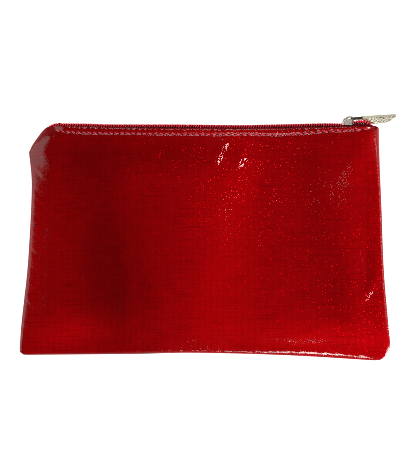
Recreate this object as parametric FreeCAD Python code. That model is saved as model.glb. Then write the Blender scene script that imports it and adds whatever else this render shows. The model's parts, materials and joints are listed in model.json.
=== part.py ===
"""Flat zip-top pouch of coated canvas, lying on its back panel.

+X runs along the zip towards its closed end, +Y runs up the wall towards the
mouth and +Z leaves the front panel. The origin is under the middle of the
pouch, on the surface that the back panel lies on. Lengths are millimetres.
"""

import FreeCAD
import Part
import os

V = FreeCAD.Vector
os.makedirs("parts", exist_ok=True)

# Walls. Heights with DZ count from the seam plane, where front meets back.
SEAM_Z = 5.1
WALL_DZ = 5.1
CANVAS_T = 0.7
LINING_T = 0.3
LINING_DZ = 3.2
HALF_GAP = 0.05
HEM_DEPTH = 9.0
FOLD_Y = 57.8
HALF_WIDTH = 95.0
DEPTH = 120.0
BELOW_SEAM = -0.5

# Each wall rises from its rim in steps: (distance in from the rim, height).
CANVAS_OUTSIDE = [(0.0, HALF_GAP), (3.0, 3.2), (10.0, WALL_DZ)]
CANVAS_INSIDE = [(1.3, BELOW_SEAM), (3.9, 2.7), (10.5, WALL_DZ - CANVAS_T)]
HEM_INSIDE = [(1.3, BELOW_SEAM), (3.9, 2.4), (10.5, WALL_DZ - 2 * CANVAS_T)]
LINING_OUTSIDE = [(3.4, HALF_GAP), (6.0, 2.0), (11.0, LINING_DZ)]
LINING_INSIDE = [(4.0, BELOW_SEAM), (6.4, 1.7), (11.4, LINING_DZ - LINING_T)]
LINING_TOP = 54.0
ABOVE_MOUTH = 72.0

# Threads
STITCH_BELOW_FOLD = 3.0
STITCH_W = 0.4
STITCH_T = 0.2
GROOVE_SPARE = 0.05
STITCH_ENDS = (-72.0, 77.0)
SEAM_THREAD_IN = (2.0, 2.5)
LINING_THREAD_IN = (5.2, 5.6)
SEAM_THREAD_T = 0.3
LINING_THREAD_T = 0.24

# Zip chain. DZ again counts from the seam plane, to the front and to the back.
COIL_Y = (57.95, 60.0)
COIL_DZ = (0.65, 2.1)
COIL_X = (-78.0, 83.0)
COIL_BORE_R = 0.45
CORD_R = 0.4
COIL_THREAD_W = 0.4
COIL_THREAD_T = 0.1
COIL_THREAD_GAP = 0.02
COIL_CORNER_R = 0.22
TAPE_Y = (57.6, 57.9)
TAPE_DZ = (0.6, 3.6)
TAPE_T = 0.3
TAPE_FOOT_Y = 50.0
TAPE_X = (-71.5, 76.5)
TAPE_TAIL_X = (-77.5, 82.5)
TAPE_TAIL_DZ = 1.6
TACK_L = 0.8
TACK_DZ = 1.5
TACK_GAP = 0.1

# Slider
SLIDER_X = (70.3, 76.6)
SLIDER_HALF_W = 3.1
SLIDER_TOP_Y = (60.25, 62.0)
SLIDER_CROWN_X = 74.3
SLIDER_NEAR_Y = 60.7
SLIDER_FAR_Y = 61.5
SLIDER_FOOT_Y = (56.45, 57.35)
SLIDER_FOOT_HALF_W = 2.9
FLANGE_T = 0.6
FLANGE_LOW_Y = 58.9
DIVIDER_X = (73.9, 76.3)
DIVIDER_SHOULDER_X = 74.7
DIVIDER_HALF_W = 0.5
DIVIDER_TIP_HALF_W = 0.15
MERGE = 0.1
SLIDER_CORNER_R = 1.2
SLIDER_RIM_R = 0.3
BAIL_HALF_W = 0.7
BAIL_RIM_R = 0.15
# Outside and inside of the bail's arch: its near foot, points over the top, its far foot
BAIL_OUTSIDE = [(70.7, 60.6), (71.4, 62.3), (73.0, 63.4), (75.1, 63.65), (76.4, 63.1), (76.6, 61.4)]
BAIL_INSIDE = [(73.1, 61.6), (73.4, 62.3), (74.1, 62.85), (74.9, 63.05), (75.9, 62.7), (76.0, 61.4)]

# Pull. R runs out along the pull from its hinge; rises are across it.
HINGE = V(75.2, 62.45, SEAM_Z)
PULL_TILT = 3.5
EYE_WIRE = 0.8
EYE_DZ = (1.0, 1.6)
EYE_ROOT_L = 1.0
ARM_SHOULDER_R = 1.7
ARM_TOP = 0.55
ARM_LOW = -0.8
BAR_R = (5.05, 23.98)
BAR_TOP = 1.0
BAR_TOP_HALF_W = 0.5
BAR_TOP_FAR_R = 23.65
BAR_RIDGE = -0.45
BAR_RIDGE_HALF_W = 1.6
BAR_LOW = -3.5
BAR_LOW_HALF_W = 0.4
BAR_LOW_NEAR_R = 10.65
BAR_LOW_BEND = (19.65, -3.1)
BAR_LOW_FAR_R = 17.65
BAR_RIM_R = 0.12

# Further than any piece reaches from the middle, and the end of the mouth side
FAR = 80.0


def smooth(points):
    """A smooth edge through points."""
    curve = Part.BSplineCurve()
    curve.interpolate(points)
    return curve.toShape()


def inset(points, depth, z):
    """Points (x, y) drawn in by depth towards the middle of the mouth."""
    across = 1 - depth / HALF_WIDTH
    down = 1 - depth / DEPTH
    return [V(x * across, FOLD_Y - (FOLD_Y - y) * down, z) for x, y in points]


# The outline, anticlockwise from the top left corner.
LEFT_SIDE = [(-94.4, 44.7), (-93.0, 26.0), (-94.7, -12.0), (-97.2, -41.0), (-99.2, -58.8)]
LOW_LEFT = [(-99.2, -58.8), (-98.3, -61.0), (-96.0, -61.7)]
LOW_EDGE = [(-96.0, -61.7), (-45.0, -61.3), (-10.0, -60.8), (40.0, -62.3), (87.3, -65.0)]
LOW_RIGHT = [(87.3, -65.0), (93.0, -62.9), (96.0, -55.3)]
RIGHT_SIDE = [(96.0, -55.3), (94.2, -41.0), (92.3, -16.0), (91.0, 14.0), (89.9, 42.0), (90.0, 55.2)]
TOP_RIGHT = [(90.0, 55.2), (89.3, 57.3), (87.0, 58.2)]
MOUTH = [(87.0, 58.2), (15.0, 56.9), (-82.3, 58.6)]
TOP_LEFT = [(-82.3, 58.6), (-88.2, 55.2), (-94.4, 44.7)]
AROUND = [LEFT_SIDE, LOW_LEFT, LOW_EDGE, LOW_RIGHT, RIGHT_SIDE, TOP_RIGHT]


def rim(depth, z, open_mouth):
    """The outline drawn in by depth, at height z; its mouth edge can run out upwards."""
    edges = [smooth(inset(points, depth, z)) for points in AROUND]
    right = inset([MOUTH[0]], depth, z)[0]
    left = inset([MOUTH[-1]], depth, z)[0]
    if open_mouth:
        high_right = V(right.x, ABOVE_MOUTH, z)
        high_left = V(left.x, ABOVE_MOUTH, z)
        edges.append(Part.makeLine(right, high_right))
        edges.append(Part.makeLine(high_right, high_left))
        edges.append(Part.makeLine(high_left, left))
    else:
        edges.append(smooth(inset(MOUTH, depth, z)))
    edges.append(smooth(inset(TOP_LEFT, depth, z)))
    return Part.Wire(edges)


def mound(steps, open_mouth):
    """A closed solid that rises from the rim through the given steps."""
    wires = [rim(depth, dz, open_mouth) for depth, dz in steps]
    return Part.makeLoft(wires, True, True)


def slab(x, y, z):
    """A box between pairs of x, y and z."""
    return Part.makeBox(x[1] - x[0], y[1] - y[0], z[1] - z[0], V(x[0], y[0], z[0]))


def below(y):
    """All the space on the low side of y."""
    return slab((-2 * FAR, 2 * FAR), (-2 * FAR, y), (-FAR, FAR))


def mouth_strip(half_w, z):
    """A flat strip that follows the fold at the stitch line, between two heights."""
    line = [V(x, y - STITCH_BELOW_FOLD, z[0]) for x, y in MOUTH]
    low = smooth([p - V(0, half_w, 0) for p in line])
    high = smooth([p + V(0, half_w, 0) for p in line])
    strip = Part.makeRuledSurface(low, high).extrude(V(0, 0, z[1] - z[0]))
    return strip


def front_canvas():
    """The front panel, about the seam plane, with its turned hem and stitch groove."""
    body = mound(CANVAS_OUTSIDE, False)
    body = body.cut(mound(CANVAS_INSIDE, True).common(below(FOLD_Y - HEM_DEPTH)))
    body = body.cut(mound(HEM_INSIDE, True))
    groove = mouth_strip(
        STITCH_W / 2 + GROOVE_SPARE, (WALL_DZ - STITCH_T - GROOVE_SPARE, WALL_DZ + 1)
    )
    reach = slab(
        (STITCH_ENDS[0] - GROOVE_SPARE, STITCH_ENDS[1] + GROOVE_SPARE), (0, FAR), (0, FAR)
    )
    return body.cut(groove.common(reach))


def front_lining():
    """The front lining, about the seam plane, cut off below the zip."""
    shell = mound(LINING_OUTSIDE, False).cut(mound(LINING_INSIDE, True))
    return shell.common(below(LINING_TOP))


def front_topstitch():
    """The needle thread that lies in the front panel's stitch groove."""
    strip = mouth_strip(STITCH_W / 2, (WALL_DZ - STITCH_T, WALL_DZ))
    return strip.common(slab(STITCH_ENDS, (0, FAR), (0, FAR)))


def front_tape():
    """One half of the zip tape: under the coil, then turned down behind the hem."""
    flat = slab(TAPE_X, TAPE_Y, TAPE_DZ)
    tail = slab(TAPE_TAIL_X, TAPE_Y, (TAPE_DZ[0], TAPE_TAIL_DZ))
    skirt = slab(TAPE_X, (TAPE_FOOT_Y, TAPE_Y[1]), (TAPE_DZ[1] - TAPE_T, TAPE_DZ[1]))
    return flat.fuse(tail).fuse(skirt).removeSplitter()


def coil_middle():
    """Height and offset of the middle of a coil."""
    return V(COIL_X[0], sum(COIL_Y) / 2, sum(COIL_DZ) / 2)


def front_coil():
    """The envelope of one half of the coil, hollow for its cord."""
    bar = slab(COIL_X, COIL_Y, COIL_DZ)
    along = [e for e in bar.Edges if abs(e.tangentAt(e.FirstParameter).x) > 0.99]
    bar = bar.makeFillet(COIL_CORNER_R, along)
    bore = Part.makeCylinder(COIL_BORE_R, COIL_X[1] - COIL_X[0], coil_middle(), V(1, 0, 0))
    return bar.cut(bore)


def front_cord():
    """The filler cord inside one half of the coil."""
    return Part.makeCylinder(CORD_R, COIL_X[1] - COIL_X[0], coil_middle(), V(1, 0, 0))


def front_coil_thread():
    """The thread that runs over the coil and holds it to the tape."""
    middle = coil_middle().z
    across = (middle - COIL_THREAD_W / 2, middle + COIL_THREAD_W / 2)
    low = COIL_Y[1] + COIL_THREAD_GAP
    return slab(COIL_X, (low, low + COIL_THREAD_T), across)


def seam_thread(side, depths, thick):
    """A row of thread along one side of the outline, centred on the seam plane."""
    outer = smooth(inset(side, depths[0], SEAM_Z - thick / 2))
    inner = smooth(inset(side, depths[1], SEAM_Z - thick / 2))
    return Part.makeRuledSurface(outer, inner).extrude(V(0, 0, thick))


def end_tack(x):
    """A bar tack across both coils, from x on."""
    return slab((x, x + TACK_L), COIL_Y, (SEAM_Z - TACK_DZ, SEAM_Z + TACK_DZ))


def rounded_plate(half_w, y, worn_y):
    """A slider plate with rounded corners in plan and a softened rim at worn_y."""
    plate = slab(SLIDER_X, y, (-half_w, half_w))
    upright = [e for e in plate.Edges if abs(e.tangentAt(e.FirstParameter).y) > 0.99]
    plate = plate.makeFillet(SLIDER_CORNER_R, upright)
    worn = [e for e in plate.Edges if abs(e.CenterOfMass.y - worn_y) < MERGE]
    return plate.makeFillet(SLIDER_RIM_R, worn)


def crowned_plate():
    """The slider's top, rounded in plan and arched from its near end to its far end."""
    plate = slab(SLIDER_X, (FLANGE_LOW_Y, SLIDER_TOP_Y[1] + 1), (-SLIDER_HALF_W, SLIDER_HALF_W))
    upright = [e for e in plate.Edges if abs(e.tangentAt(e.FirstParameter).y) > 0.99]
    plate = plate.makeFillet(SLIDER_CORNER_R, upright)
    near = V(SLIDER_X[0], SLIDER_NEAR_Y, 0)
    far = V(SLIDER_X[1], SLIDER_FAR_Y, 0)
    crown = Part.Arc(near, V(SLIDER_CROWN_X, SLIDER_TOP_Y[1], 0), far).toShape()
    foot = Part.makePolygon([far, V(far.x, 0, 0), V(near.x, 0, 0), near])
    side_on = Part.Face(Part.Wire([crown, *foot.Edges])).extrude(V(0, 0, FAR))
    side_on.translate(V(0, 0, -FAR / 2))
    plate = plate.common(side_on)
    worn = [e for e in plate.Edges if e.CenterOfMass.y > SLIDER_TOP_Y[0]]
    worn = [e for e in worn if abs(e.tangentAt(e.FirstParameter).y) < 0.99]
    return plate.makeFillet(SLIDER_RIM_R, worn)


def slider_body():
    """Two plates, the side flanges over the coil and the divider between its halves."""
    top = crowned_plate()
    inner_w = SLIDER_HALF_W - FLANGE_T
    ends = (SLIDER_X[0] - 1, SLIDER_X[1] + 1)
    top = top.cut(slab(ends, (FLANGE_LOW_Y - 1, SLIDER_TOP_Y[0]), (-inner_w, inner_w)))
    foot = rounded_plate(SLIDER_FOOT_HALF_W, SLIDER_FOOT_Y, SLIDER_FOOT_Y[0])
    low = SLIDER_FOOT_Y[1] - MERGE
    side = [
        V(DIVIDER_X[1], low, DIVIDER_HALF_W),
        V(DIVIDER_SHOULDER_X, low, DIVIDER_HALF_W),
        V(DIVIDER_X[0], low, DIVIDER_TIP_HALF_W),
    ]
    other = [V(p.x, p.y, -p.z) for p in reversed(side)]
    post = Part.Face(Part.makePolygon([*side, *other, side[0]]))
    rise = SLIDER_TOP_Y[0] + MERGE - low
    body = top.fuse(foot).fuse(post.extrude(V(0, rise, 0))).removeSplitter()
    return body.translated(V(0, 0, SEAM_Z))


def slider_bail():
    """The arch over the slider that the pull's eye goes under."""
    outside = smooth([V(x, y, 0) for x, y in BAIL_OUTSIDE])
    inside = smooth([V(x, y, 0) for x, y in BAIL_INSIDE])
    feet = [
        Part.makeLine(V(*out_foot, 0), V(*in_foot, 0))
        for out_foot, in_foot in zip(BAIL_OUTSIDE, BAIL_INSIDE)
    ]
    face = Part.Face(Part.Wire(Part.__sortEdges__([outside, inside, feet[0], feet[-1]])))
    arch = face.extrude(V(0, 0, 2 * BAIL_HALF_W)).translated(V(0, 0, -BAIL_HALF_W))
    long_edges = [e for e in arch.Edges if abs(abs(e.CenterOfMass.z) - BAIL_HALF_W) < MERGE]
    worn = [e for e in long_edges if e.CenterOfMass.y > SLIDER_TOP_Y[1]]
    arch = arch.makeFillet(BAIL_RIM_R, worn)
    return arch.cut(crowned_plate()).translated(V(0, 0, SEAM_Z))


def pull_tab():
    """A faceted bar with a ridge along it, slanted at both ends, and its square eye."""
    outline = [
        V(BAR_R[0], BAR_TOP, 0),
        V(BAR_TOP_FAR_R, BAR_TOP, 0),
        V(BAR_R[1], BAR_RIDGE, 0),
        V(*BAR_LOW_BEND, 0),
        V(BAR_LOW_FAR_R, BAR_LOW, 0),
        V(BAR_LOW_NEAR_R, BAR_LOW, 0),
        V(BAR_R[0], BAR_RIDGE, 0),
    ]
    side_on = Part.Face(Part.makePolygon([*outline, outline[0]]))
    side_on = side_on.extrude(V(0, 0, 4 * BAR_RIDGE_HALF_W))
    side_on.translate(V(0, 0, -2 * BAR_RIDGE_HALF_W))
    section = [
        (BAR_TOP, BAR_TOP_HALF_W),
        (BAR_RIDGE, BAR_RIDGE_HALF_W),
        (BAR_LOW, BAR_LOW_HALF_W),
    ]
    front = [V(0, rise, half_w) for rise, half_w in section]
    back = [V(0, rise, -half_w) for rise, half_w in reversed(section)]
    end_on = Part.Face(Part.makePolygon([*front, *back, front[0]])).extrude(V(FAR, 0, 0))
    bar = side_on.common(end_on)
    bar = bar.makeFillet(BAR_RIM_R, bar.Edges)
    half = EYE_WIRE / 2
    eye = Part.makeCylinder(half, 2 * EYE_DZ[1], V(0, 0, -EYE_DZ[1]), V(0, 0, 1))
    for low, high in ((EYE_DZ[0], EYE_DZ[1]), (-EYE_DZ[1], -EYE_DZ[0])):
        round_end = Part.makeCylinder(half, high - low, V(0, 0, low), V(0, 0, 1))
        arm = [
            V(0, half, low),
            V(ARM_SHOULDER_R, ARM_TOP, low),
            V(BAR_R[0] + EYE_ROOT_L, ARM_TOP, low),
            V(BAR_R[0] + EYE_ROOT_L, ARM_LOW, low),
            V(ARM_SHOULDER_R, ARM_LOW, low),
            V(0, -half, low),
        ]
        arm = Part.Face(Part.makePolygon([*arm, arm[0]])).extrude(V(0, 0, high - low))
        eye = eye.fuse(round_end).fuse(arm)
    root_ends = (BAR_R[0], BAR_R[0] + EYE_ROOT_L)
    cheek = slab(root_ends, (ARM_LOW, ARM_TOP), (-EYE_DZ[1], EYE_DZ[1]))
    pull = bar.fuse(eye).fuse(cheek).removeSplitter()
    pull.rotate(V(0, 0, 0), V(0, 0, 1), PULL_TILT)
    return pull.translated(HINGE)


def in_front(shape):
    """A front piece, moved from the seam plane up to its real height."""
    return shape.translated(V(0, 0, SEAM_Z))


def behind(shape):
    """The back twin of a front piece."""
    return shape.mirror(V(0, 0, 0), V(0, 0, 1)).translated(V(0, 0, SEAM_Z))


def save(name, shape):
    """Writes one piece as one STEP file."""
    shape.exportStep(os.path.join("parts", name + ".step"))
    return shape


made = []
for name, shape in (
    ("{}_panel", front_canvas()),
    ("{}_lining", front_lining()),
    ("{}_topstitch", front_topstitch()),
    ("{}_zip_tape", front_tape()),
    ("{}_zip_coil", front_coil()),
    ("{}_coil_cord", front_cord()),
    ("{}_coil_thread", front_coil_thread()),
):
    made.append(save(name.format("front"), in_front(shape)))
    made.append(save(name.format("back"), behind(shape)))

for name, side in (("left", LEFT_SIDE), ("right", RIGHT_SIDE), ("bottom", LOW_EDGE)):
    made.append(save(name + "_seam_thread", seam_thread(side, SEAM_THREAD_IN, SEAM_THREAD_T)))
    made.append(
        save(name + "_lining_thread", seam_thread(side, LINING_THREAD_IN, LINING_THREAD_T))
    )

made.append(save("left_end_tack", end_tack(COIL_X[0] - TACK_GAP - TACK_L)))
made.append(save("right_end_tack", end_tack(COIL_X[1] + TACK_GAP)))
made.append(save("slider_body", slider_body()))
made.append(save("slider_bail", slider_bail()))
made.append(save("pull_tab", pull_tab()))

whole = Part.makeCompound(made).BoundBox
print("pieces", len(made), "all valid", all(shape.isValid() for shape in made))
print("solids per piece", [len(shape.Solids) for shape in made])
print("box", [round(v, 3) for v in (whole.XMin, whole.XMax, whole.YMin, whole.YMax)])
print("height", round(whole.ZMin, 3), round(whole.ZMax, 3))
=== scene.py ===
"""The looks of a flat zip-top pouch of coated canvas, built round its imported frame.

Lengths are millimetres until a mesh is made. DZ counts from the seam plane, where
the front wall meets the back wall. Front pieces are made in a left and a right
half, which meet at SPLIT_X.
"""

import json
import math

import bpy
import numpy as np
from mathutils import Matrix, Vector

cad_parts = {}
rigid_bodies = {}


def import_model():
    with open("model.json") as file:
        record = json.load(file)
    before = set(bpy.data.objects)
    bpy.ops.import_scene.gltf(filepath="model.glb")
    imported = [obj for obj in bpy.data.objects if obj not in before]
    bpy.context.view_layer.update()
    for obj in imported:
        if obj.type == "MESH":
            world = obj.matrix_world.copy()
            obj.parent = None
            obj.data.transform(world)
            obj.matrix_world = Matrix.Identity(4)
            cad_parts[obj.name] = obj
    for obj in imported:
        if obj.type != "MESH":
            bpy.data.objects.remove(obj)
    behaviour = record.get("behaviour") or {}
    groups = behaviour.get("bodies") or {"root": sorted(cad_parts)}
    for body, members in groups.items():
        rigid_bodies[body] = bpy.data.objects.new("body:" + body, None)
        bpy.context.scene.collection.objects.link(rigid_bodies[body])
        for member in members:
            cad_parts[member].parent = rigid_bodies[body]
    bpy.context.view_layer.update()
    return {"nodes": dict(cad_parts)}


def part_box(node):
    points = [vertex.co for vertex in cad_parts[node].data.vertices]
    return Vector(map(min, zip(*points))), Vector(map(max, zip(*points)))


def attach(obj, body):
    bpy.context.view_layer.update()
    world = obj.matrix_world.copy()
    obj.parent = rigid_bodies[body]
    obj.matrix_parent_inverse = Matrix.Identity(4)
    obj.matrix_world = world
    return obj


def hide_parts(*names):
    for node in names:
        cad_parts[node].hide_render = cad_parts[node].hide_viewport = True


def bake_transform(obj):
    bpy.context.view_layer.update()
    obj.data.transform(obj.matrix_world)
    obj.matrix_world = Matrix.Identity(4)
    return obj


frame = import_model()
MM = 0.001
BACK, FRONT = "back_wall", "front_wall"

# The outline, as cut: the corner arcs belong half to each side.
LEFT_SIDE = [
    (-99.4, -58.8), (-98.4, -45.5), (-96.9, -32.0),
    (-94.8, -11.0), (-93.0, 26.0), (-94.4, 44.7),
]
TOP_LEFT = [(-94.4, 44.7), (-92.6, 48.6), (-88.0, 55.0), (-85.2, 57.7), (-82.3, 58.7)]
LOW_LEFT = [(-98.4, -61.2), (-99.2, -60.3), (-99.4, -58.8)]
LOW_LEFT_FOOT = [(-98.4, -61.2), (-97.4, -61.9), (-96.0, -62.1)]
LOW_EDGE = [(-96.0, -62.1), (-45.0, -61.6), (-10.0, -61.0), (40.0, -62.3), (87.3, -65.0)]
LOW_RIGHT_FOOT = [(87.3, -65.0), (90.6, -64.6), (93.4, -62.6)]
LOW_RIGHT = [(93.4, -62.6), (95.3, -59.4), (95.9, -55.3)]
RIGHT_SIDE = [
    (95.9, -55.3), (94.5, -41.0), (92.5, -16.0),
    (91.4, 14.0), (90.4, 38.0), (90.0, 55.2),
]
TOP_RIGHT = [(90.0, 55.2), (89.8, 57.5), (88.2, 58.6)]
MOUTH = [(-82.3, 58.7), (-45.0, 57.5), (15.0, 56.9), (55.0, 57.5), (88.2, 58.6)]
WALL_LENGTH = 119.0
WALL_WIDTH = 188.0

SEAM_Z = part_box("left_seam_thread")[0].z / MM / 2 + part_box("left_seam_thread")[1].z / MM / 2
WALL_DZ = 5.1
CANVAS_T = 0.7
FOLD_R = 0.7
HEM = 8.5
SPLIT_X = 2.0


# ---------------------------------------------------------------- shapes


POINTS_PER_SPAN = 40


def smooth_line(points):
    """A smooth line through points."""
    p = np.array(points, float)
    q = np.vstack([2 * p[0] - p[1], p, 2 * p[-1] - p[-2]])
    t = np.linspace(0, 1, POINTS_PER_SPAN, endpoint=False)[:, None]
    out = []
    for a, b, c, d in zip(q[:-3], q[1:-2], q[2:-1], q[3:]):
        bent = 2 * b + (c - a) * t + (2 * a - 5 * b + 4 * c - d) * t**2
        out.append(0.5 * (bent + (3 * b - a - 3 * c + d) * t**3))
    return np.vstack([*out, p[-1:]])


def joined(*parts):
    """Several runs of points, each smooth in itself, as one line."""
    return np.vstack([smooth_line(points) for points in parts])


def at(line, share):
    """Points at shares of a line's length."""
    steps = np.linalg.norm(np.diff(line, axis=0), axis=1)
    run = np.concatenate([[0], np.cumsum(steps)])
    run /= run[-1]
    return np.stack([np.interp(share, run, line[:, k]) for k in range(line.shape[1])], -1)


LEFT = joined(LOW_LEFT, LEFT_SIDE, TOP_LEFT)
RIGHT = joined(LOW_RIGHT, RIGHT_SIDE, TOP_RIGHT)
LOW = joined(LOW_LEFT_FOOT, LOW_EDGE, LOW_RIGHT_FOOT)
TOP = smooth_line(MOUTH)


# How soon the rows of the wall lose the rise of a corner, away from its side.
SIDE_PULL = 20


def spread(u, v):
    """Points of the flat wall: u runs left to right and v from the bottom seam to the mouth."""
    uu, vv = np.meshgrid(u, v)
    uu, vv = uu[..., None], vv[..., None]
    flat = (1 - vv) * at(LOW, u)[None] + vv * at(TOP, u)[None]
    for line, corner, near in ((LEFT, 0, 1 - uu), (RIGHT, -1, uu)):
        straight = (1 - vv) * LOW[corner] + vv * TOP[corner]
        flat = flat + (at(line, v)[:, None] - straight) * near ** np.array([1, SIDE_PULL])
    middle = np.array([np.interp(0.5, u, row) for row in flat[..., 0]])
    flat[..., 0] += (SPLIT_X - middle)[:, None] * (1 - abs(2 * uu[..., 0] - 1))
    return flat


LINE_STEP = 4
POINTS_AT_ONCE = 4000


def distance(points, line):
    """How far each point is from a line, taken as straight runs between every few of its points."""
    flat = points.reshape(-1, 2)
    ends = np.vstack([line[::LINE_STEP], line[-1:]])
    starts, runs = ends[:-1], np.diff(ends, axis=0)
    lengths = np.maximum((runs**2).sum(1), 1e-12)
    out = np.empty(len(flat))
    for first in range(0, len(flat), POINTS_AT_ONCE):
        some = slice(first, first + POINTS_AT_ONCE)
        away = flat[some, None] - starts
        share = np.clip((away * runs).sum(-1) / lengths, 0, 1)
        away = away - share[..., None] * runs
        out[some] = np.sqrt((away**2).sum(-1)).min(1)
    return out.reshape(points.shape[:-1])


def ease(t):
    """0 to 1 with a steep start and a flat end."""
    return 1 - (1 - np.clip(t, 0, 1)) ** 2.2


def step(a, b, t):
    """0 below a, 1 above b, smooth between them."""
    t = np.clip((t - a) / (b - a), 0, 1)
    return t * t * (3 - 2 * t)


def hump(x, y, at_x, at_y, long, wide, angle=0.0):
    """A soft ridge of height 1, long along angle (degrees from +X)."""
    c, s = math.cos(math.radians(angle)), math.sin(math.radians(angle))
    along = ((x - at_x) * c + (y - at_y) * s) / long
    across = (-(x - at_x) * s + (y - at_y) * c) / wide
    return np.exp(-(along**2) - across**2)


WAVES = 9


def rolling(x, y, seed, size):
    """Soft random undulation, about -1 to 1, with bumps about size across."""
    rng = np.random.default_rng(seed)
    total = np.zeros_like(x)
    for _ in range(WAVES):
        turn, phase = rng.uniform(0, 2 * math.pi, 2)
        wave = size * rng.uniform(0.8, 2.2)
        total += np.sin((x * math.cos(turn) + y * math.sin(turn)) * 2 * math.pi / wave + phase)
    return total / math.sqrt(WAVES) / 1.4


# Soft folds of the front wall: height, then centre, length, width and angle.
FRONT_FOLDS = [
    (0.95, -8.0, -4.0, 64.0, 26.0, 90),
    (0.30, 5.0, 22.0, 36.0, 6.0, 88),
    (-0.70, -62.0, -22.0, 44.0, 13.0, 95),
    (0.55, -40.0, -34.0, 26.0, 6.0, 97),
    (-0.50, -50.0, -36.0, 24.0, 5.0, 95),
    (0.35, -83.0, 6.0, 40.0, 6.0, 92),
    (-0.55, 66.0, -24.0, 24.0, 5.5, 97),
    (0.45, 76.0, -22.0, 26.0, 5.0, 98),
    (-0.50, 84.0, -14.0, 18.0, 3.2, 95),
    (1.00, 86.6, -25.2, 9.0, 3.0, 52),
    (0.55, -75.0, -49.0, 24.0, 7.0, 5),
    (0.55, 62.0, -50.0, 36.0, 7.0, -2),
    (-0.35, 48.0, -57.5, 34.0, 2.6, -3),
    (0.75, 5.0, 44.0, 7.0, 2.4, 66),
    (0.55, 16.5, 40.0, 4.0, 2.0, 60),
    (0.45, 4.0, 51.5, 4.0, 2.0, 60),
    (0.40, 9.0, 50.5, 3.4, 1.8, 50),
]

# Painted shade (below 0) and painted light (above 0) in the front's red, in soft patches where it
# turns from the light or towards it: amount, centre, length, width, angle.
FRONT_PAINTED_SHADING = [
    (-0.55, -54.0, -16.0, 52.0, 15.0, 93),
    (-0.25, -34.0, -30.0, 30.0, 7.0, 97),
    (-0.30, -68.0, 40.0, 22.0, 16.0, 0),
    (0.50, 6.0, -8.0, 60.0, 18.0, 88),
    (0.30, 20.0, 34.0, 26.0, 8.0, 84),
    (-0.30, 64.0, -22.0, 30.0, 8.0, 96),
    (-0.20, 56.0, 30.0, 30.0, 10.0, 90),
    (-0.20, 83.0, -18.0, 14.0, 4.0, 94),
    (0.55, -74.0, -50.0, 26.0, 9.0, 4),
    (0.45, -94.0, -6.0, 40.0, 9.0, 90),
    (0.70, 68.0, -54.0, 40.0, 9.0, -4),
    (-0.30, -20.0, 44.0, 46.0, 9.0, 0),
]
BACK_FOLDS = [
    (-0.5, -10.0, 0.0, 58.0, 12.0, 86),
    (-0.4, 44.0, -20.0, 40.0, 8.0, 100),
    (-0.4, -52.0, -24.0, 40.0, 9.0, 82),
    (-0.3, 20.0, 34.0, 30.0, 9.0, 10),
]


def puckers(x, y, near, seed):
    """Small gathers that run in from a seam, fading within a few millimetres."""
    rng = np.random.default_rng(seed)
    run = x * 0.9 + y * 1.1
    total = np.zeros_like(x)
    for wave in (5.3, 7.9, 11.7):
        total += np.sin(run * 2 * math.pi / wave + rng.uniform(0, 6.3))
    return total * 0.03 * np.exp(-(((near - 3.5) / 3.0) ** 2))


# How far in from the seams the wall reaches its full height, and what it keeps below that.
SIDE_REACH, TOP_SIDE_REACH, LOW_REACH = 34, 9.5, 30
LIP_HEIGHT = 1.15


def wall_height(flat, folds, seed):
    """DZ of the wall's outer face at flat points, before the fold, and how near a seam is."""
    x, y = flat[..., 0], flat[..., 1]
    side = np.minimum(distance(flat, LEFT), distance(flat, RIGHT))
    low = distance(flat, LOW)
    near = np.minimum(side, low)
    upper, by_hem = step(16, 54, y), step(44, 54, y)
    reach = SIDE_REACH + (TOP_SIDE_REACH - SIDE_REACH) * upper
    belly = ease(side / reach) * ease(low / LOW_REACH)
    roll = 1.5 + 2.2 * step(20, 60, x) * (1 - step(-50, -30, y)) + 0.7 * step(60, 80, x)
    lip = LIP_HEIGHT * np.sqrt(1 - (1 - np.clip(near / roll, 0, 1)) ** 2)
    dz = 0.35 + lip + (WALL_DZ - 1.5) * belly
    free = step(1.5, 10, near) * (1 - 0.85 * by_hem)
    for height, at_x, at_y, long, wide, angle in folds:
        dz = dz + height * free * hump(x, y, at_x, at_y, long, wide, angle)
    dz = dz + free * (0.22 * rolling(x, y, seed, 26) + 0.07 * rolling(x, y, seed + 1, 9))
    dz = dz + puckers(x, y, near, seed) * (1 - by_hem)
    dz = dz - 0.45 * free * (1 - upper)
    return dz, near


def growing(first, last, total, growth=1.28):
    """Distances from 0 that grow from first apart to last apart, up to total."""
    out, gap = [0.0], first
    while out[-1] + gap < total:
        out.append(out[-1] + gap)
        gap = min(gap * growth, last)
    return np.array(out)


def columns(first, last):
    """u of the wall's columns: close at both side seams, and one on the split."""
    half = growing(first, last, WALL_WIDTH / 2 - 0.5) / WALL_WIDTH
    return np.concatenate([half, [0.5], 1 - half[::-1]])


STITCH_X = (-79.0, 82.5)
STITCH_PITCH = (2.75, 3.5)


def stitch_row():
    """The middle and the length of each topstitch; the stitches grow a little to the right."""
    row, x = [], STITCH_X[0]
    while x < STITCH_X[1]:
        pitch = float(np.interp(x, STITCH_X, STITCH_PITCH))
        row.append((x, pitch))
        x += pitch
    return row


STITCHES = stitch_row()
STITCH_DEPTHS = [
    (-79, 3.6), (-44, 3.0), (0, 3.1), (20, 3.0), (40, 3.5), (50, 3.0), (64, 2.2), (80, 1.9),
]


def stitch_depth(x):
    """How far under the fold the row of topstitches runs at x; it wanders a little."""
    return np.interp(x, *zip(*STITCH_DEPTHS))


FOLD_STEPS = 11
HEM_ROWS = (1.6, 3.0, 4.6, 6.4, HEM)
LEAST_DZ = 0.03


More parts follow.
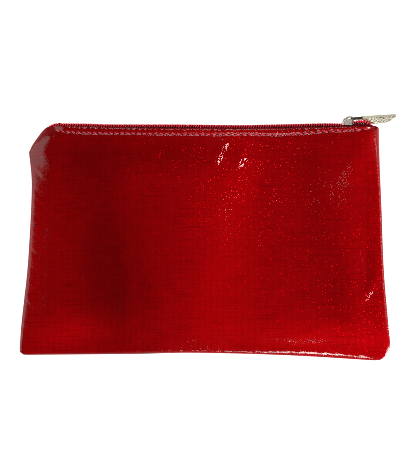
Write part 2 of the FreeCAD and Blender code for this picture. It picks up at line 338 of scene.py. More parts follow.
class Wall:
    """The canvas of one wall: its outside, the fold at the mouth, the hem and its inside."""

    def __init__(self, folds, seed, most, painted_shading=()):
        self.folds, self.most, self.painted_shading = folds, most, painted_shading
        self.u = columns(0.1, 1.15)
        self.middle = len(self.u) // 2
        below = np.concatenate(
            [FOLD_R + growing(0.22, 0.32, 4.6, 1.05), [5.2, 5.9], 6.8 + growing(0.9, 1.15, 98.0)]
        )
        rim = WALL_LENGTH - growing(0.1, 1.15, 13.0)[::-1]
        self.below = np.concatenate([below[below < rim[0] - 0.5], rim])[::-1]
        flat = spread(self.u, 1 - self.below / WALL_LENGTH)
        outer = wall_height(flat, folds, seed)[0]
        outer = outer + self.hem_shape(flat[..., 0], self.below[:, None])
        outer = np.minimum(outer, most)
        rows = [np.dstack([flat, outer])]
        r = np.minimum(FOLD_R, (outer[-1] - 0.1) / 2)
        tops = self.at_depth(0.0)
        down = (self.at_depth(4.0) - tops) / 4.0
        for turn in np.linspace(0, math.pi, FOLD_STEPS)[1:]:
            drop = r * (1 - math.sin(turn))
            dz = outer[-1] - r + r * math.cos(turn)
            rows.append(np.dstack([(tops + down * drop[:, None])[None], dz[None]]))
        for depth in HEM_ROWS:
            i = int(np.abs(self.below - depth).argmin())
            dz = np.minimum(outer[i], outer[-1] + 0.1) - 2 * r
            rows.append(np.dstack([self.at_depth(depth)[None], np.maximum(dz, LEAST_DZ)[None]]))
        self.single = int((self.below > HEM + 0.3).sum())
        inside = np.dstack([flat, np.maximum(outer - CANVAS_T, LEAST_DZ)])
        rows.append(inside[: self.single][::-1])
        self.ring = np.vstack(rows)
        self.normals = smooth_normals(self.ring)

    def at_depth(self, below):
        """The flat points of the row that is so far under the fold."""
        return spread(self.u, np.array([1 - below / WALL_LENGTH]))[0]

    def hem_shape(self, x, below):
        """The roll over the hem, and the row that the topstitching pulls in."""
        full = step(-82, -74, x) * (1 - step(82, 88, x))
        turn = 2 * math.pi * np.interp(x, [place for place, _ in STITCHES], range(len(STITCHES)))
        depth = stitch_depth(x)
        roll = 0.32 * np.sin(np.clip(below / depth, 0, 1) * math.pi)
        roll = roll * (1 + 0.3 * np.cos(turn))
        row = -0.28 * np.exp(-(((below - depth) / 0.55) ** 2))
        hem_end = 0.12 * np.exp(-(((below - HEM + 1.2) / 1.5) ** 2))
        return full * (roll + row + hem_end)

    def height_at(self, x, below):
        """DZ of the outer face at an x, so far under the fold."""
        i = int(np.abs(self.below - below).argmin())
        return np.interp(x, self.ring[i, :, 0], self.ring[i, :, 2])

    def y_at(self, x, below):
        """Y of the row that is so far under the fold, at an x."""
        row = self.at_depth(below)
        return np.interp(x, row[:, 0], row[:, 1])

    def faces(self, first, last):
        """Quads of columns first to last, closed at both ends."""
        rows, cols = len(self.ring), last - first
        faces = ring_faces(rows, cols)
        end = cols - 1
        for edge, turn in ((0, 1), (end, -1)):
            if (first if edge == 0 else last) == self.middle + (edge != 0):
                loop = [i * cols + edge for i in range(rows)]
                faces.append(tuple(loop[::turn]))
                continue
            for i in range(self.single - 1):
                a, b = i * cols + edge, (rows - 1 - i) * cols + edge
                quad = (a, a + cols, b - cols, b)
                faces.append(quad[::turn])
            loop = [i * cols + edge for i in range(self.single - 1, rows - self.single + 1)]
            faces.append(tuple(loop[::turn]))
        return faces

    def half(self, x0, x1):
        """Points, faces, normals and painted shading of the columns from x0 to x1: the ends or the
        split.
        """
        first = self.middle if x0 == SPLIT_X else 0
        last = self.middle + 1 if x1 == SPLIT_X else len(self.u)
        points = self.ring[:, first:last].reshape(-1, 3)
        # Painted shade and painted light: the front's red is darkened and lightened in soft patches,
        # 0.5 being neither.
        tone = np.full(len(points), 0.5)
        for amount, *place in self.painted_shading:
            tone += amount * hump(points[:, 0], points[:, 1], *place)
        normals = self.normals[:, first:last].reshape(-1, 3)
        return points, self.faces(first, last), normals, np.clip(tone, 0, 1)


def flipped(points):
    """Front points (x, y, DZ) as back points: mirrored through the seam plane."""
    return points * np.array([1, 1, -1])


def mesh_piece(name, points, faces, normals=None, painted_shading=None, flip=False):
    """A shown mesh from points in (x, y, DZ), with a UV map in centimetres of cloth."""
    points = np.array(points, float)
    flat = points[:, :2].copy()
    if flip:
        points = flipped(points)
        faces = [tuple(reversed(face)) for face in faces]
    mesh = bpy.data.meshes.new(name)
    mesh.from_pydata(((points + [0, 0, SEAM_Z]) * MM).tolist(), [], [tuple(f) for f in faces])
    mesh.shade_smooth()
    layer = mesh.uv_layers.new(name="cloth")
    index = np.empty(len(mesh.loops), int)
    mesh.loops.foreach_get("vertex_index", index)
    layer.data.foreach_set("uv", (flat[index] / 10).astype(np.float32).ravel())
    # A piece's painted shade and painted light go in a point attribute.
    if painted_shading is not None:
        shade = mesh.attributes.new("tone", "FLOAT", "POINT")
        shade.data.foreach_set("value", np.asarray(painted_shading, np.float32))
    if normals is not None:
        if flip:
            normals = flipped(normals)
        mesh.normals_split_custom_set_from_vertices(normals.tolist())
    piece = bpy.data.objects.new(name, mesh)
    bpy.context.scene.collection.objects.link(piece)
    return piece


def ring_faces(rows, cols):
    """Quads of a grid of points, rows by cols, whose last row joins its first."""
    faces = []
    for i in range(rows):
        a, b = i * cols, (i + 1) % rows * cols
        faces += [(a + j, a + j + 1, b + j + 1, b + j) for j in range(cols - 1)]
    return faces


def sheet_faces(rows, cols):
    """Quads of a sheet whose rows run over one face and back over the other, closed at both sides."""
    faces = ring_faces(rows, cols)
    for edge, turn in ((0, 1), (cols - 1, -1)):
        for i in range(rows // 2 - 1):
            a, b = i * cols + edge, (rows - 1 - i) * cols + edge
            faces.append((a, a + cols, b - cols, b)[::turn])
    return faces


def smooth_normals(grid):
    """The normals of a closed grid's points, from its neighbours along and across."""
    along = np.gradient(grid, axis=1)
    across = np.roll(grid, -1, axis=0) - np.roll(grid, 1, axis=0)
    out = np.cross(along, across)
    return out / np.maximum(np.linalg.norm(out, axis=-1, keepdims=True), 1e-9)


def tube(path, radius, sides=8, squash=1.0):
    """Points and faces of a round tube along a path, with closed ends."""
    path = np.array(path, float)
    radius = np.broadcast_to(np.asarray(radius, float), (len(path),))
    run = np.gradient(path, axis=0)
    run /= np.linalg.norm(run, axis=1, keepdims=True)
    side = np.cross(run, [0.13, 0.21, 0.97])
    side /= np.linalg.norm(side, axis=1, keepdims=True)
    up = np.cross(side, run)
    turn = np.linspace(0, 2 * math.pi, sides, endpoint=False)
    around = side[:, None] * np.cos(turn)[None, :, None]
    around = around + up[:, None] * np.sin(turn)[None, :, None] * squash
    points = path[:, None] + around * radius[:, None, None]
    count, faces = len(path), []
    for i in range(count - 1):
        for j in range(sides):
            k = (j + 1) % sides
            low, high = i * sides, (i + 1) * sides
            faces.append((low + j, low + k, high + k, high + j))
    faces.append(tuple(range(sides))[::-1])
    faces.append(tuple(range((count - 1) * sides, count * sides)))
    return points.reshape(-1, 3), faces


def gathered(parts):
    """Several (points, faces) as one."""
    points, faces, first = [], [], 0
    for some, theirs in parts:
        points.append(some)
        faces += [tuple(first + k for k in face) for face in theirs]
        first += len(some)
    return np.vstack(points), faces


# ---------------------------------------------------------------- riding


def open_with_mouth(piece):
    """Bakes the placement of a half of a front piece into its mesh."""
    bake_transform(piece)


def dress(piece, material, nodes):
    """Gives a piece its material and hides the CAD nodes that it stands for."""
    piece.data.materials.clear()
    piece.data.materials.append(material)
    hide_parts(*nodes)


def both_walls(name, builds, ends, material, node=None):
    """The front halves and the back twin of a piece; a build(x0, x1) gives points and faces."""
    front, back = builds
    for side, x0, x1 in (("left", ends[0], SPLIT_X), ("right", SPLIT_X, ends[1])):
        piece = mesh_piece(f"front_{name}_{side}", *front(x0, x1))
        dress(piece, material, [f"front_{node or name}"])
        open_with_mouth(piece)
    piece = mesh_piece(f"back_{name}_whole", *back(*ends), flip=True)
    dress(piece, material, [f"back_{node or name}"])
    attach(piece, BACK)


# ---------------------------------------------------------------- materials


class Nodes:
    """A small helper that adds and links the nodes of one material."""

    def __init__(self, name):
        self.material = bpy.data.materials.new(name)
        self.material.use_nodes = True
        self.tree = self.material.node_tree
        self.tree.nodes.clear()
        self.shader = self.add("ShaderNodeBsdfPrincipled")
        out = self.add("ShaderNodeOutputMaterial")
        self.tree.links.new(self.shader.outputs[0], out.inputs["Surface"])

    def add(self, kind, **settings):
        node = self.tree.nodes.new(kind)
        for key, value in settings.items():
            setattr(node, key, value)
        return node

    def put(self, socket, value):
        """Links an output to a socket, or sets the socket's own value."""
        if isinstance(value, bpy.types.NodeSocket):
            self.tree.links.new(value, socket)
        else:
            socket.default_value = value

    def set(self, **values):
        """Sets the shader's sockets; an underscore in a name stands for a space."""
        for name, value in values.items():
            self.put(self.shader.inputs[name.replace("_", " ")], value)

    def math(self, operation, a, b=0.0):
        node = self.add("ShaderNodeMath", operation=operation)
        self.put(node.inputs[0], a)
        self.put(node.inputs[1], b)
        return node.outputs[0]

    def cloth(self):
        """The cloth coordinates, in centimetres."""
        return self.add("ShaderNodeUVMap", uv_map="cloth").outputs[0]

    def place(self):
        """The piece's own coordinates, in metres."""
        return self.add("ShaderNodeTexCoord").outputs["Object"]

    def scaled(self, vector, scale):
        node = self.add("ShaderNodeVectorMath", operation="MULTIPLY")
        self.put(node.inputs[0], vector)
        self.put(node.inputs[1], scale)
        return node.outputs[0]

    def noise(self, vector, scale, detail=3.0, rough=0.5):
        node = self.add("ShaderNodeTexNoise")
        self.put(node.inputs["Vector"], vector)
        node.inputs["Scale"].default_value = scale
        node.inputs["Detail"].default_value = detail
        node.inputs["Roughness"].default_value = rough
        return node.outputs[0]

    def ramp(self, value, *stops):
        """A value mapped by (position, level or colour) stops."""
        node = self.add("ShaderNodeValToRGB")
        self.put(node.inputs[0], value)
        spots = node.color_ramp.elements
        while len(spots) < len(stops):
            spots.new(0.5)
        for spot, (position, colour) in zip(spots, stops):
            spot.position = position
            level = colour if hasattr(colour, "__len__") else (colour,) * 3
            spot.color = (*level, 1)
        return node.outputs[0]

    def mix(self, share, a, b):
        """Colour a where share is 0 and colour b where it is 1."""
        node = self.add("ShaderNodeMix", data_type="RGBA")
        self.put(node.inputs[0], share)
        self.put(node.inputs[6], (*a, 1) if isinstance(a, tuple) else a)
        self.put(node.inputs[7], (*b, 1) if isinstance(b, tuple) else b)
        return node.outputs[2]

    def bump(self, height, strength, deep_mm):
        node = self.add("ShaderNodeBump")
        node.inputs["Strength"].default_value = strength
        node.inputs["Distance"].default_value = deep_mm * MM
        self.put(node.inputs["Height"], height)
        return node.outputs[0]

    def weave(self, vector, across, along):
        """The height of a plain weave, so many threads to the unit each way."""
        parts = self.add("ShaderNodeSeparateXYZ")
        self.put(parts.inputs[0], vector)
        x = self.math("MULTIPLY", parts.outputs[0], across)
        y = self.math("MULTIPLY", parts.outputs[1], along)
        both = self.math("ADD", self.math("FLOOR", x), self.math("FLOOR", y))
        over = self.math("PINGPONG", both, 1.0)
        x = self.math("ABSOLUTE", self.math("SINE", self.math("MULTIPLY", x, math.pi)))
        y = self.math("ABSOLUTE", self.math("SINE", self.math("MULTIPLY", y, math.pi)))
        mix = self.add("ShaderNodeMix", data_type="FLOAT")
        self.put(mix.inputs[0], over)
        self.put(mix.inputs[2], self.math("MULTIPLY", x, self.math("ADD", y, 0.6)))
        self.put(mix.inputs[3], self.math("MULTIPLY", y, self.math("ADD", x, 0.6)))
        return mix.outputs[0]


def coated_canvas():
    """Red canvas under a clear glossy coat that breaks up its highlights."""
    n = Nodes("coated_canvas")
    cloth = n.cloth()
    wander = n.add("ShaderNodeVectorMath", operation="MULTIPLY_ADD")
    n.put(wander.inputs[0], n.noise(cloth, 1.6, 2.0))
    n.put(wander.inputs[1], (0.03, 0.03, 0))
    n.put(wander.inputs[2], cloth)
    weave = n.weave(wander.outputs[0], 16.0, 19.0)
    slub = n.noise(n.scaled(cloth, (0.5, 16.0, 1)), 1.0, 3.0, 0.6)
    mottle = n.noise(cloth, 2.2, 4.0, 0.6)
    # Painted shade and painted light: the front's patches of shade and light, with a random mottle
    # added, pick its red between CANVAS_DARK and CANVAS_LIGHT.
    tone = n.add("ShaderNodeAttribute", attribute_name="tone").outputs["Fac"]
    tone = n.math("ADD", tone, n.math("MULTIPLY", n.math("SUBTRACT", mottle, 0.5), 0.5))
    base = n.mix(n.ramp(tone, (0.0, 0.0), (1.0, 1.0)), CANVAS_DARK, CANVAS_LIGHT)
    base = n.mix(n.ramp(slub, (0.34, 0.35), (0.46, 0.0)), base, CANVAS_DEEP)
    base = n.mix(n.ramp(weave, (0.05, 0.45), (0.6, 0.0)), base, CANVAS_DEEP)
    facing = n.add("ShaderNodeSeparateXYZ")
    n.put(facing.inputs[0], n.add("ShaderNodeNewGeometry").outputs["Normal"])
    grain = n.noise(cloth, 11.0, 2.0, 0.7)
    speckle = n.math("ADD", n.math("MULTIPLY", weave, 0.12), grain)
    n.set(
        Base_Color=base,
        Roughness=0.8,
        Specular_IOR_Level=0.0,
        Normal=n.bump(weave, 0.35, 0.04),
        Coat_Weight=n.ramp(facing.outputs[1], (0.36, 0.7), (0.6, 0.1)),
        Coat_Roughness=0.10,
        Coat_IOR=1.5,
        Coat_Normal=n.bump(speckle, 0.55, 0.07),
    )
    return n.material


def plain_cloth(name, light, dark, threads):
    """A matt woven cloth, with its own number of threads to the centimetre each way."""
    n = Nodes(name)
    cloth = n.cloth()
    weave = n.weave(cloth, *threads)
    mottle = n.noise(cloth, 3.0, 3.0)
    base = n.mix(n.ramp(weave, (0.0, 0.8), (0.7, 0.0)), light, dark)
    base = n.mix(n.ramp(mottle, (0.35, 0.35), (0.65, 0.0)), base, dark)
    n.set(
        Base_Color=base,
        Roughness=0.9,
        Specular_IOR_Level=0.05,
        Sheen_Weight=0.15,
        Sheen_Roughness=0.5,
        Sheen_Tint=(*light, 1),
        Normal=n.bump(weave, 0.6, 0.05),
    )
    return n.material


def spun_thread(name, light, dark, twists_per_mm, rough=0.5):
    """Sewing thread: slanted plies round its length."""
    n = Nodes(name)
    parts = n.add("ShaderNodeSeparateXYZ")
    n.put(parts.inputs[0], n.place())
    total = n.math("ADD", parts.outputs[0], n.math("MULTIPLY", parts.outputs[1], 0.7))
    total = n.math("ADD", total, n.math("MULTIPLY", parts.outputs[2], 0.7))
    turn = n.math("MULTIPLY", total, 2 * math.pi * twists_per_mm / MM)
    ply = n.math("ABSOLUTE", n.math("SINE", turn))
    fuzz = n.noise(n.place(), 2500.0, 2.0)
    base = n.mix(n.ramp(ply, (0.1, 1.0), (0.7, 0.0)), light, dark)
    n.set(
        Base_Color=n.mix(n.ramp(fuzz, (0.4, 0.3), (0.6, 0.0)), base, dark),
        Roughness=rough,
        Specular_IOR_Level=0.2,
        Sheen_Weight=0.3,
        Sheen_Roughness=0.4,
        Sheen_Tint=(*light, 1),
        Normal=n.bump(ply, 0.6, 0.05),
    )
    return n.material


def nylon(name, light, dark):
    """The coil's filament: dyed nylon, smooth, its colour and roughness a little cloudy."""
    n = Nodes(name)
    cloudy = n.noise(n.place(), 700.0, 3.0)
    fine = n.noise(n.place(), 4000.0, 2.0)
    n.set(
        Base_Color=n.mix(n.ramp(cloudy, (0.3, 0.0), (0.7, 1.0)), dark, light),
        Roughness=n.ramp(fine, (0.3, 0.38), (0.7, 0.52)),
        Specular_IOR_Level=0.12,
        Normal=n.bump(fine, 0.15, 0.02),
    )
    return n.material


def plated_metal(name, colour, dull, rough, brushed):
    """Plated zinc: fine brushing along X, small pits and a duller colour in patches."""
    n = Nodes(name)
    streaks = n.noise(n.scaled(n.place(), (90.0, *brushed)), 1.0, 3.0, 0.65)
    patches = n.noise(n.place(), 260.0, 3.0)
    pits = n.noise(n.place(), 1900.0, 2.0)
    n.set(
        Base_Color=n.mix(n.ramp(patches, (0.35, 0.0), (0.7, 1.0)), colour, dull),
        Metallic=1.0,
        Roughness=n.ramp(streaks, (0.3, rough - 0.08), (0.7, rough + 0.1)),
        Normal=n.bump(n.math("ADD", streaks, n.math("MULTIPLY", pits, 0.4)), 0.03, 0.012),
    )
    return n.material


# The canvas's red runs between CANVAS_DARK and CANVAS_LIGHT with its painted shade, painted light and
# random mottle; CANVAS_DEEP is the red deep in its weave and slubs.
CANVAS_LIGHT = (0.36, 0.0005, 0.0018)
CANVAS_DARK = (0.15, 0.0003, 0.0010)
CANVAS_DEEP = (0.06, 0.0001, 0.0005)

CANVAS = coated_canvas()
LINING = plain_cloth("lining_cloth", (0.12, 0.006, 0.010), (0.05, 0.002, 0.004), (28.0, 28.0))
TAPE = plain_cloth("tape_weave", (0.13, 0.002, 0.006), (0.04, 0.001, 0.002), (40.0, 22.0))
NYLON = nylon("nylon_filament", (0.95, 0.040, 0.078), (0.75, 0.015, 0.032))
# A shaded copy of the coil's nylon: painted shade for the back half of the coil, seen through the
# gaps of the front half.
SHADED_NYLON = nylon("deep_nylon_filament", (0.10, 0.002, 0.005), (0.06, 0.001, 0.003))
TOP_THREAD = spun_thread("top_thread", (0.72, 0.07, 0.12), (0.36, 0.015, 0.03), 1.6)
# Painted shade for the needle holes: near black, on pellets that sit in the hem.
HOLE_SHADE = spun_thread("needle_hole", (0.03, 0.0005, 0.001), (0.01, 0.0002, 0.0004), 1.6, 0.95)
SEAM_THREAD = spun_thread("seam_thread", (0.36, 0.01, 0.02), (0.14, 0.003, 0.006), 1.8)
# The filler cord is drawn near black: painted shade in the gaps between the coil's turns.
SHADED_CORD = spun_thread("filler_cord", (0.035, 0.001, 0.002), (0.012, 0.0004, 0.0008), 0.9, 0.9)
# The thread over the coil's low side is drawn near black: painted shade of the gap between the coil
# and the fold.
COIL_THREAD_SHADE = spun_thread(
    "coil_thread", (0.035, 0.0008, 0.002), (0.012, 0.0003, 0.0006), 1.8, 0.8
)
SLIDER_METAL = plated_metal(
    "slider_metal", (0.66, 0.60, 0.53), (0.46, 0.41, 0.36), 0.28, (900.0, 900.0)
)
PULL_METAL = plated_metal(
    "pull_metal", (0.74, 0.69, 0.53), (0.60, 0.55, 0.42), 0.30, (2600.0, 2600.0)
)


# ---------------------------------------------------------------- walls

FRONT_WALL = Wall(FRONT_FOLDS, 11, WALL_DZ + 0.9, FRONT_PAINTED_SHADING)
BACK_WALL = Wall(BACK_FOLDS, 29, WALL_DZ - 0.02)


# The ends of a piece that runs from one side of the pouch to the other.
WHOLE = (None, None)


def make_panels():
    """The two canvas walls."""
    both_walls("panel", (FRONT_WALL.half, BACK_WALL.half), WHOLE, CANVAS)


LINING_IN = 3.4
LINING_TOP = 4.2
LINING_T = 0.3
LINING_MOST_DZ = 3.1


def lining(wall):
    """One lining: a thin cloth that follows the inside of its wall, up to the zip tape."""

    def build(x0, x1):
        half = np.array([0, 0.4, 1, 2, 3.5, 5.5, *np.arange(8, 88, 2.0)]) / WALL_WIDTH
        scale = 1 - 2 * LINING_IN / WALL_WIDTH
        u = np.concatenate([half, [0.5], 1 - half[::-1]])
        u = LINING_IN / WALL_WIDTH + u * scale
        below = np.array(
            [LINING_TOP, 5.5, 7, 9, *np.arange(11, 104, 2.0), 107, 110, 112.5, 114.2, 115.2]
        )
        flat = spread(u, 1 - below[::-1] / WALL_LENGTH)
        keep = np.ones(len(u), bool)
        middle = len(u) // 2
        if x0 == SPLIT_X:
            keep[:middle] = False
        if x1 == SPLIT_X:
            keep[middle + 1 :] = False
        dz, near = wall_height(flat, wall.folds, 11)
        lift = np.sqrt(1 - (1 - np.clip((near - LINING_IN + 0.2) / 2.5, 0, 1)) ** 2)
        outer = np.minimum(np.maximum(dz - 1.15, 0.4), LINING_MOST_DZ)
        outer = outer + 0.12 * rolling(flat[..., 0], flat[..., 1], 5, 14)
        outer = 0.42 + (outer - 0.42) * lift
        inner = np.maximum(outer - LINING_T, 0.08)
        grid = np.vstack([np.dstack([flat, outer]), np.dstack([flat, inner])[::-1]])
        grid = grid[:, keep]
        return grid.reshape(-1, 3), sheet_faces(*grid.shape[:2])

    return build


def make_linings():
    """The two linings."""
    both_walls("lining", (lining(FRONT_WALL), lining(BACK_WALL)), WHOLE, LINING)


# ---------------------------------------------------------------- zip

COIL_PITCH = 1.27
FILAMENT_R = 0.33
COIL_Y = 58.98
COIL_HALF_HEIGHT = 1.08
COIL_DZ = 0.86
COIL_HALF_DEPTH = 1.12
COIL_X = (-83.4, 87.2)
COIL_THREAD_Y, COIL_THREAD_DZ, COIL_THREAD_R = -0.80, 1.04, 0.17
SLIDER_MOUTH_X = 70.5
SLIDER_NOSE_X = 77.0
CHAIN_LINE = smooth_line(
    [
        (-86.0, 56.6),
        (-83.0, 58.1),
        (-80.0, 59.0),
        (-76.0, 58.98),
        (-69.5, 58.93),
        (-62.5, 58.85),
        (-54.0, 58.52),
        (-42.0, 58.45),
        (-17.0, 58.42),
        (0.0, 58.25),
        (17.0, 58.08),
        (34.0, 58.38),
        (60.0, 59.0),
        (73.0, COIL_Y),
        (78.6, 60.6),
        (82.0, 60.5),
        (84.3, 59.7),
        (87.5, 57.2),
    ]
)


def chain(x):
    """Middle of the front half of the coil at x: (y, DZ). It sags, and parts past the slider."""
    y = np.interp(x, CHAIN_LINE[:, 0], CHAIN_LINE[:, 1])
    part = step(SLIDER_MOUTH_X, SLIDER_NOSE_X, x)
    dz = COIL_DZ + 0.95 * part - 0.9 * step(83, 87.5, x)
    return y, dz


def squared_off(wave):
    """A sine whose turns are a little boxier."""
    return np.sign(wave) * abs(wave) ** 0.75


def coil(phase):
    """One half of the zip's coil, a spiral filament."""

    def build(x0, x1):
        turns = np.arange(x0 / COIL_PITCH, x1 / COIL_PITCH, 1 / 20)
        angle = (turns + phase) * 2 * math.pi
        x = turns * COIL_PITCH
        y, dz = chain(x)
        c, s = np.cos(angle), np.sin(angle)
        dz = dz + (COIL_HALF_DEPTH - FILAMENT_R) * squared_off(c)
        y = y + (COIL_HALF_HEIGHT - FILAMENT_R) * squared_off(s)
        x = x + 0.10 * np.sin(2 * angle)
        return tube(np.stack([x, y, dz], -1), FILAMENT_R)

    return build


def twisted_cord(x0, x1):
    """The filler cord inside the coil: two plies laid round each other."""
    x = np.arange(x0, x1, 0.5)
    y, dz = chain(x)
    parts = []
    for start in (0, math.pi):
        turn = x * 2 * math.pi / 3.0 + start
        path = np.stack([x, y + 0.30 * np.sin(turn), dz + 0.30 * np.cos(turn)], -1)
        parts.append(tube(path, 0.33, 7))
    return gathered(parts)


def coil_thread(x0, x1):
    """The row of thread that crosses over the coil's low side and holds it to the tape."""
    # Its near black colour is painted shade along the coil's low side.
    x = np.arange(x0, x1, COIL_PITCH / 6)
    y, dz = chain(x)
    turn = x * 2 * math.pi / COIL_PITCH
    y = y + COIL_THREAD_Y + 0.04 * np.sin(turn)
    path = np.stack([x, y, dz + COIL_THREAD_DZ + 0.03 * np.cos(turn)], -1)
    return tube(path, COIL_THREAD_R, 6)


TAPE_T = 0.3
TAPE_DZ = 3.45
TAPE_LONG = 7.5


def zip_tape(x0, x1):
    """One half of the tape: flat under the coil, then turned down behind the hem."""
    x = np.arange(x0, x1 + 0.5, 1.0)
    x[-1] = x1
    y, dz = chain(x)
    y = y - COIL_HALF_HEIGHT - TAPE_T / 2 + 0.02
    wide = np.clip(np.minimum(x - COIL_X[0] + 1.2, COIL_X[1] + 1.0 - x) / 8.0, 0, 1) ** 0.5
    reach = 0.9 + (TAPE_DZ - 0.9) * wide
    inner = np.maximum(dz - 0.5, 0.25) * np.minimum(1, reach / 1.6)
    bend = np.minimum(0.5, reach - inner - 0.1)
    long = TAPE_LONG * wide
    rows = [np.stack([x, y, inner], -1), np.stack([x, y, (inner + reach) / 2], -1)]
    for turn in np.linspace(0, math.pi / 2, 6):
        rows.append(
            np.stack([x, y - bend * (1 - math.cos(turn)), reach - bend * (1 - math.sin(turn))], -1)
        )
    for share in np.linspace(0.15, 1, 8):
        rows.append(np.stack([x, y - bend - long * share, reach], -1))
    sheet = np.array(rows)
    along, across = np.gradient(sheet, axis=1), np.gradient(sheet, axis=0)
    out = np.cross(across, along)
    out /= np.maximum(np.linalg.norm(out, axis=-1, keepdims=True), 1e-9)
    grid = np.vstack([sheet - out * TAPE_T / 2, (sheet + out * TAPE_T / 2)[::-1]])
    return grid.reshape(-1, 3), sheet_faces(*grid.shape[:2])


# ---------------------------------------------------------------- threads

STITCH_R = 0.30


def stitches_between(x0, x1):
    """The middles and lengths of the topstitches whose middles lie between two x."""
    return [(x, pitch) for x, pitch in STITCHES if x0 <= x < x1]


def topstitches(wall):
    """The stitches of one wall's hem: each dives into the cloth at both ends."""

    def build(x0, x1):
        parts = []
        rng = np.random.default_rng(3)
        for middle, pitch in STITCHES:
            lean = rng.uniform(-0.34, -0.16)
            wobble = rng.uniform(-0.08, 0.08)
            lift = rng.uniform(0, 0.05)
            if not x0 <= middle < x1:
                continue
            t = np.linspace(-1, 1, 9)
            x = middle + t * pitch * 0.31
            depth = stitch_depth(middle)
            y = wall.y_at(x, depth) + lean * t + wobble
            dz = wall.height_at(x, depth) + (0.36 + lift) * (1 - t**4) - 0.18 * t**4
            dz = np.minimum(dz, wall.most - STITCH_R)
            parts.append(tube(np.stack([x, y, dz], -1), STITCH_R * (1 - 0.2 * t**4), 8, 0.8))
        return gathered(parts)

    return build


def needle_hole_shades(wall):
    """Near black pellets of painted shade at the needle holes between the stitches, where both
    threads go down into the hem.
    """

    def build(x0, x1):
        parts = []
        for middle, pitch in stitches_between(x0, x1):
            t = np.linspace(-1, 1, 7)
            x = middle + pitch * 0.5 + 0.46 * t
            depth = stitch_depth(middle)
            y = wall.y_at(x, depth) - 0.05
            dz = wall.height_at(x, depth) - 0.05
            parts.append(tube(np.stack([x, y, dz], -1), 0.40 * np.sqrt(1.02 - t**2), 8, 0.4))
        return gathered(parts)

    return build


SEAM_THREAD_R = 0.13
SEAM_STITCH = 2.6


def seam_stitches(line, depth):
    """A row of lockstitch along a seam, drawn in from the outline."""
    path = at(line, np.linspace(0.02, 0.98, 400))
    centre = np.array([0.0, 10.0])
    inwards = centre - path
    inwards /= np.linalg.norm(inwards, axis=1, keepdims=True)
    run = np.concatenate([[0], np.cumsum(np.linalg.norm(np.diff(path, axis=0), axis=1))])
    side = np.stack([-np.gradient(path[:, 1], run), np.gradient(path[:, 0], run)], -1)
    side *= np.sign((side * inwards).sum(1))[:, None]
    path = path + side * depth
    turn = run * 2 * math.pi / SEAM_STITCH
    dz = 0.10 * np.sin(turn)
    return tube(np.column_stack([path, dz]), SEAM_THREAD_R, 6)


def end_tack(x, y, most):
    """A close zigzag of thread across the two coils."""
    turns = np.linspace(0, 7, 57)
    dz = most * np.cos(turns * 2 * math.pi)
    path = np.stack([x + turns * 0.11, y + 1.08 - 0.25 * (dz / most) ** 2, dz], -1)
    return tube(path, SEAM_THREAD_R, 6)


# ---------------------------------------------------------------- the pouch

TAPE_X = (-82.4, 86.6)
SEAM_IN = 2.25
LINING_SEAM_IN = 5.4
PAST_BOTH_ENDS = (-200, 200)
TACK_X = {"left": -78.9, "right": 83.1}
TACK_HALF_DEPTH = 1.7


def make_zip():
    """The tapes, coils and cords of the zip, and every stitch along the mouth."""
    both_walls("zip_tape", (zip_tape, zip_tape), TAPE_X, TAPE)
    both_walls("zip_coil", (coil(0.0), coil(0.5)), COIL_X, NYLON)
    # The back half of the coil is drawn in the shaded copy of its nylon: painted shade.
    bpy.data.objects["back_zip_coil_whole"].data.materials[0] = SHADED_NYLON
    both_walls("coil_cord", (twisted_cord, twisted_cord), COIL_X, SHADED_CORD)
    both_walls("coil_thread", (coil_thread, coil_thread), COIL_X, COIL_THREAD_SHADE)
    builds = topstitches(FRONT_WALL), topstitches(BACK_WALL)
    both_walls("topstitch", builds, PAST_BOTH_ENDS, TOP_THREAD)
    # The needle holes' shade is painted on near black pellets.
    builds = needle_hole_shades(FRONT_WALL), needle_hole_shades(BACK_WALL)
    both_walls("needle_hole", builds, PAST_BOTH_ENDS, HOLE_SHADE, "topstitch")


def make_back_thread(name, node, shape):
    """A thread that stays with the back wall."""
    piece = mesh_piece(name, *shape)
    dress(piece, SEAM_THREAD, [node])
    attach(piece, BACK)


def make_seams():
    """The stitches that join the two walls and, further in, the two linings."""
    for side, line in (("left", LEFT), ("right", RIGHT), ("bottom", LOW)):
        for what, depth in (("seam", SEAM_IN), ("lining", LINING_SEAM_IN)):
            name, node = f"{side}_{what}_stitches", f"{side}_{what}_thread"
            make_back_thread(name, node, seam_stitches(line, depth))


def make_tacks():
    """The bar tacks that end the zip."""
    for side, x in TACK_X.items():
        y = float(chain(np.array(x))[0])
        shape = end_tack(x, y, TACK_HALF_DEPTH)
        make_back_thread(f"{side}_tack_zigzag", f"{side}_end_tack", shape)


METAL_PARTS = ("slider_body", "slider_bail", "pull_tab")


def dress_metal():
    """Gives the slider and the pull, shown as they are in the CAD, their metals."""
    for node, metal in zip(METAL_PARTS, (SLIDER_METAL, SLIDER_METAL, PULL_METAL)):
        part = frame["nodes"][node]
        part.data.materials.clear()
        part.data.materials.append(metal)


make_panels()
make_linings()
make_zip()
make_seams()
make_tacks()
dress_metal()


# ---------------------------------------------------------------- stage

VIEW_HEIGHT = 0.2503
CAMERA_ABOVE = 0.9
CAMERA_AT = (-0.0001, -0.0002)
SENSOR = 36.0
FLOOR_HALF = 3.0
FLOOR_GLOW = 0.95
ROOM_LEVELS = [(0.2, 0.5), (0.75, 0.01)]


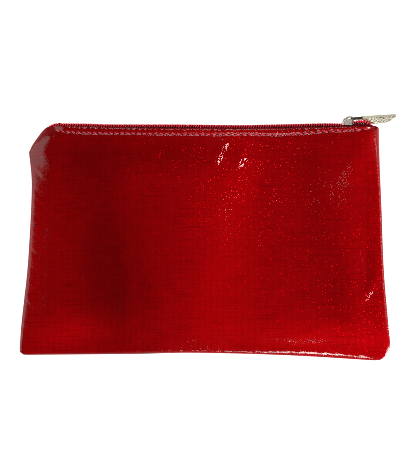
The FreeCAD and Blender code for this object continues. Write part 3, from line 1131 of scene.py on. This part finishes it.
def make_floor():
    """A white table that glows a little, so that it stays white round the pouch."""
    mesh = bpy.data.meshes.new("floor")
    corners = [(x * FLOOR_HALF, y * FLOOR_HALF, 0) for x, y in ((-1, -1), (1, -1), (1, 1), (-1, 1))]
    mesh.from_pydata(corners, [], [(0, 1, 2, 3)])
    floor = bpy.data.objects.new("floor", mesh)
    bpy.context.scene.collection.objects.link(floor)
    n = Nodes("white_floor")
    n.set(
        Base_Color=(0.35, 0.35, 0.35, 1),
        Roughness=1.0,
        Specular_IOR_Level=0.0,
        Emission_Color=(1, 1, 1, 1),
        Emission_Strength=FLOOR_GLOW,
    )
    mesh.materials.append(n.material)


def area_light(name, place, size, power, aim=(0, 0, 0), spread=180):
    """A soft light at place, turned to aim, in metres and watts; a grid narrows its spread."""
    data = bpy.data.lights.new(name, "AREA")
    data.shape = "RECTANGLE"
    data.size, data.size_y = size
    data.energy = power
    data.spread = math.radians(spread)
    lamp = bpy.data.objects.new(name, data)
    lamp.location = place
    lamp.rotation_euler = (Vector(aim) - Vector(place)).to_track_quat("-Z", "Y").to_euler()
    bpy.context.scene.collection.objects.link(lamp)
    return lamp


def shine_only_on(lamp, starts, state="INCLUDE"):
    """Keeps a light on the pieces whose names start with one of starts, and off the rest."""
    chosen = bpy.data.collections.new(lamp.name + "_pieces")
    for thing in bpy.data.objects:
        if thing.name.startswith(starts):
            chosen.objects.link(thing)
    for member in chosen.collection_objects:
        member.light_linking.link_state = state
    lamp.light_linking.receiver_collection = chosen


def leave_in_shade(lamp, starts):
    """Keeps a light off the pieces whose names start with one of starts."""
    shine_only_on(lamp, starts, "EXCLUDE")


def make_world():
    """A pale room: bright low down, dark overhead, and white where the camera sees it."""
    world = bpy.data.worlds.new("studio")
    bpy.context.scene.world = world
    world.use_nodes = True
    tree = world.node_tree
    tree.nodes.clear()

    def add(kind):
        return tree.nodes.new(kind)

    where, parts = add("ShaderNodeTexCoord"), add("ShaderNodeSeparateXYZ")
    ramp = add("ShaderNodeValToRGB")
    tree.links.new(where.outputs["Generated"], parts.inputs[0])
    tree.links.new(parts.outputs[2], ramp.inputs[0])
    for spot, (height, level) in zip(ramp.color_ramp.elements, ROOM_LEVELS):
        spot.position = height
        spot.color = (level, level, level, 1)
    path = add("ShaderNodeLightPath")
    room, white = add("ShaderNodeBackground"), add("ShaderNodeBackground")
    tree.links.new(ramp.outputs[0], room.inputs["Color"])
    white.inputs["Color"].default_value = (1, 1, 1, 1)
    mix, out = add("ShaderNodeMixShader"), add("ShaderNodeOutputWorld")
    tree.links.new(path.outputs["Is Camera Ray"], mix.inputs[0])
    tree.links.new(room.outputs[0], mix.inputs[1])
    tree.links.new(white.outputs[0], mix.inputs[2])
    tree.links.new(mix.outputs[0], out.inputs[0])


def make_camera():
    """A camera that looks straight down."""
    data = bpy.data.cameras.new("camera")
    data.sensor_width = SENSOR
    data.lens = SENSOR * CAMERA_ABOVE / VIEW_HEIGHT
    data.clip_end = 20
    camera = bpy.data.objects.new("camera", data)
    camera.location = (*CAMERA_AT, CAMERA_ABOVE + SEAM_Z * MM)
    bpy.context.scene.collection.objects.link(camera)
    bpy.context.scene.camera = camera


make_floor()
make_world()
area_light("key", (0.80, -0.42, 0.30), (0.30, 0.45), 16.0)
area_light("left_fill", (-0.62, 0.05, 0.36), (0.70, 0.60), 2.8)
leave_in_shade(area_light("hem_light", (-0.34, 0.74, 0.22), (0.50, 0.20), 5.0), ("front_panel_",))
area_light("low_edge_light", (0.075, -0.54, 0.50), (0.07, 0.15), 0.030, (0.07, -0.06, 0), 25)
area_light("right_edge_light", (0.72, 0.02, 0.27), (0.10, 0.04), 0.005, (0.09, 0.02, 0), 30)
area_light("crease_light", (0.20, -0.03, 0.62), (0.025, 0.04), 0.0012, (0.01, 0.050, 0), 9)
area_light("corner_light", (0.535, -0.23, 0.50), (0.04, 0.04), 0.0018, (0.0855, -0.027, 0), 9)
shine_only_on(area_light("slider_light", (0.13, 0.11, 0.70), (0.25, 0.25), 0.17), METAL_PARTS[:2])
leave_in_shade(area_light("fold_light", (0.0, 0.42, 0.60), (0.40, 0.02), 0.8), METAL_PARTS)
make_camera()
bpy.context.scene.view_settings.view_transform = "Standard"
bpy.context.scene.cycles.filter_width = 1.0
bpy.context.scene.cycles.use_denoising = False
bpy.context.scene.cycles.sample_clamp_indirect = 0.6
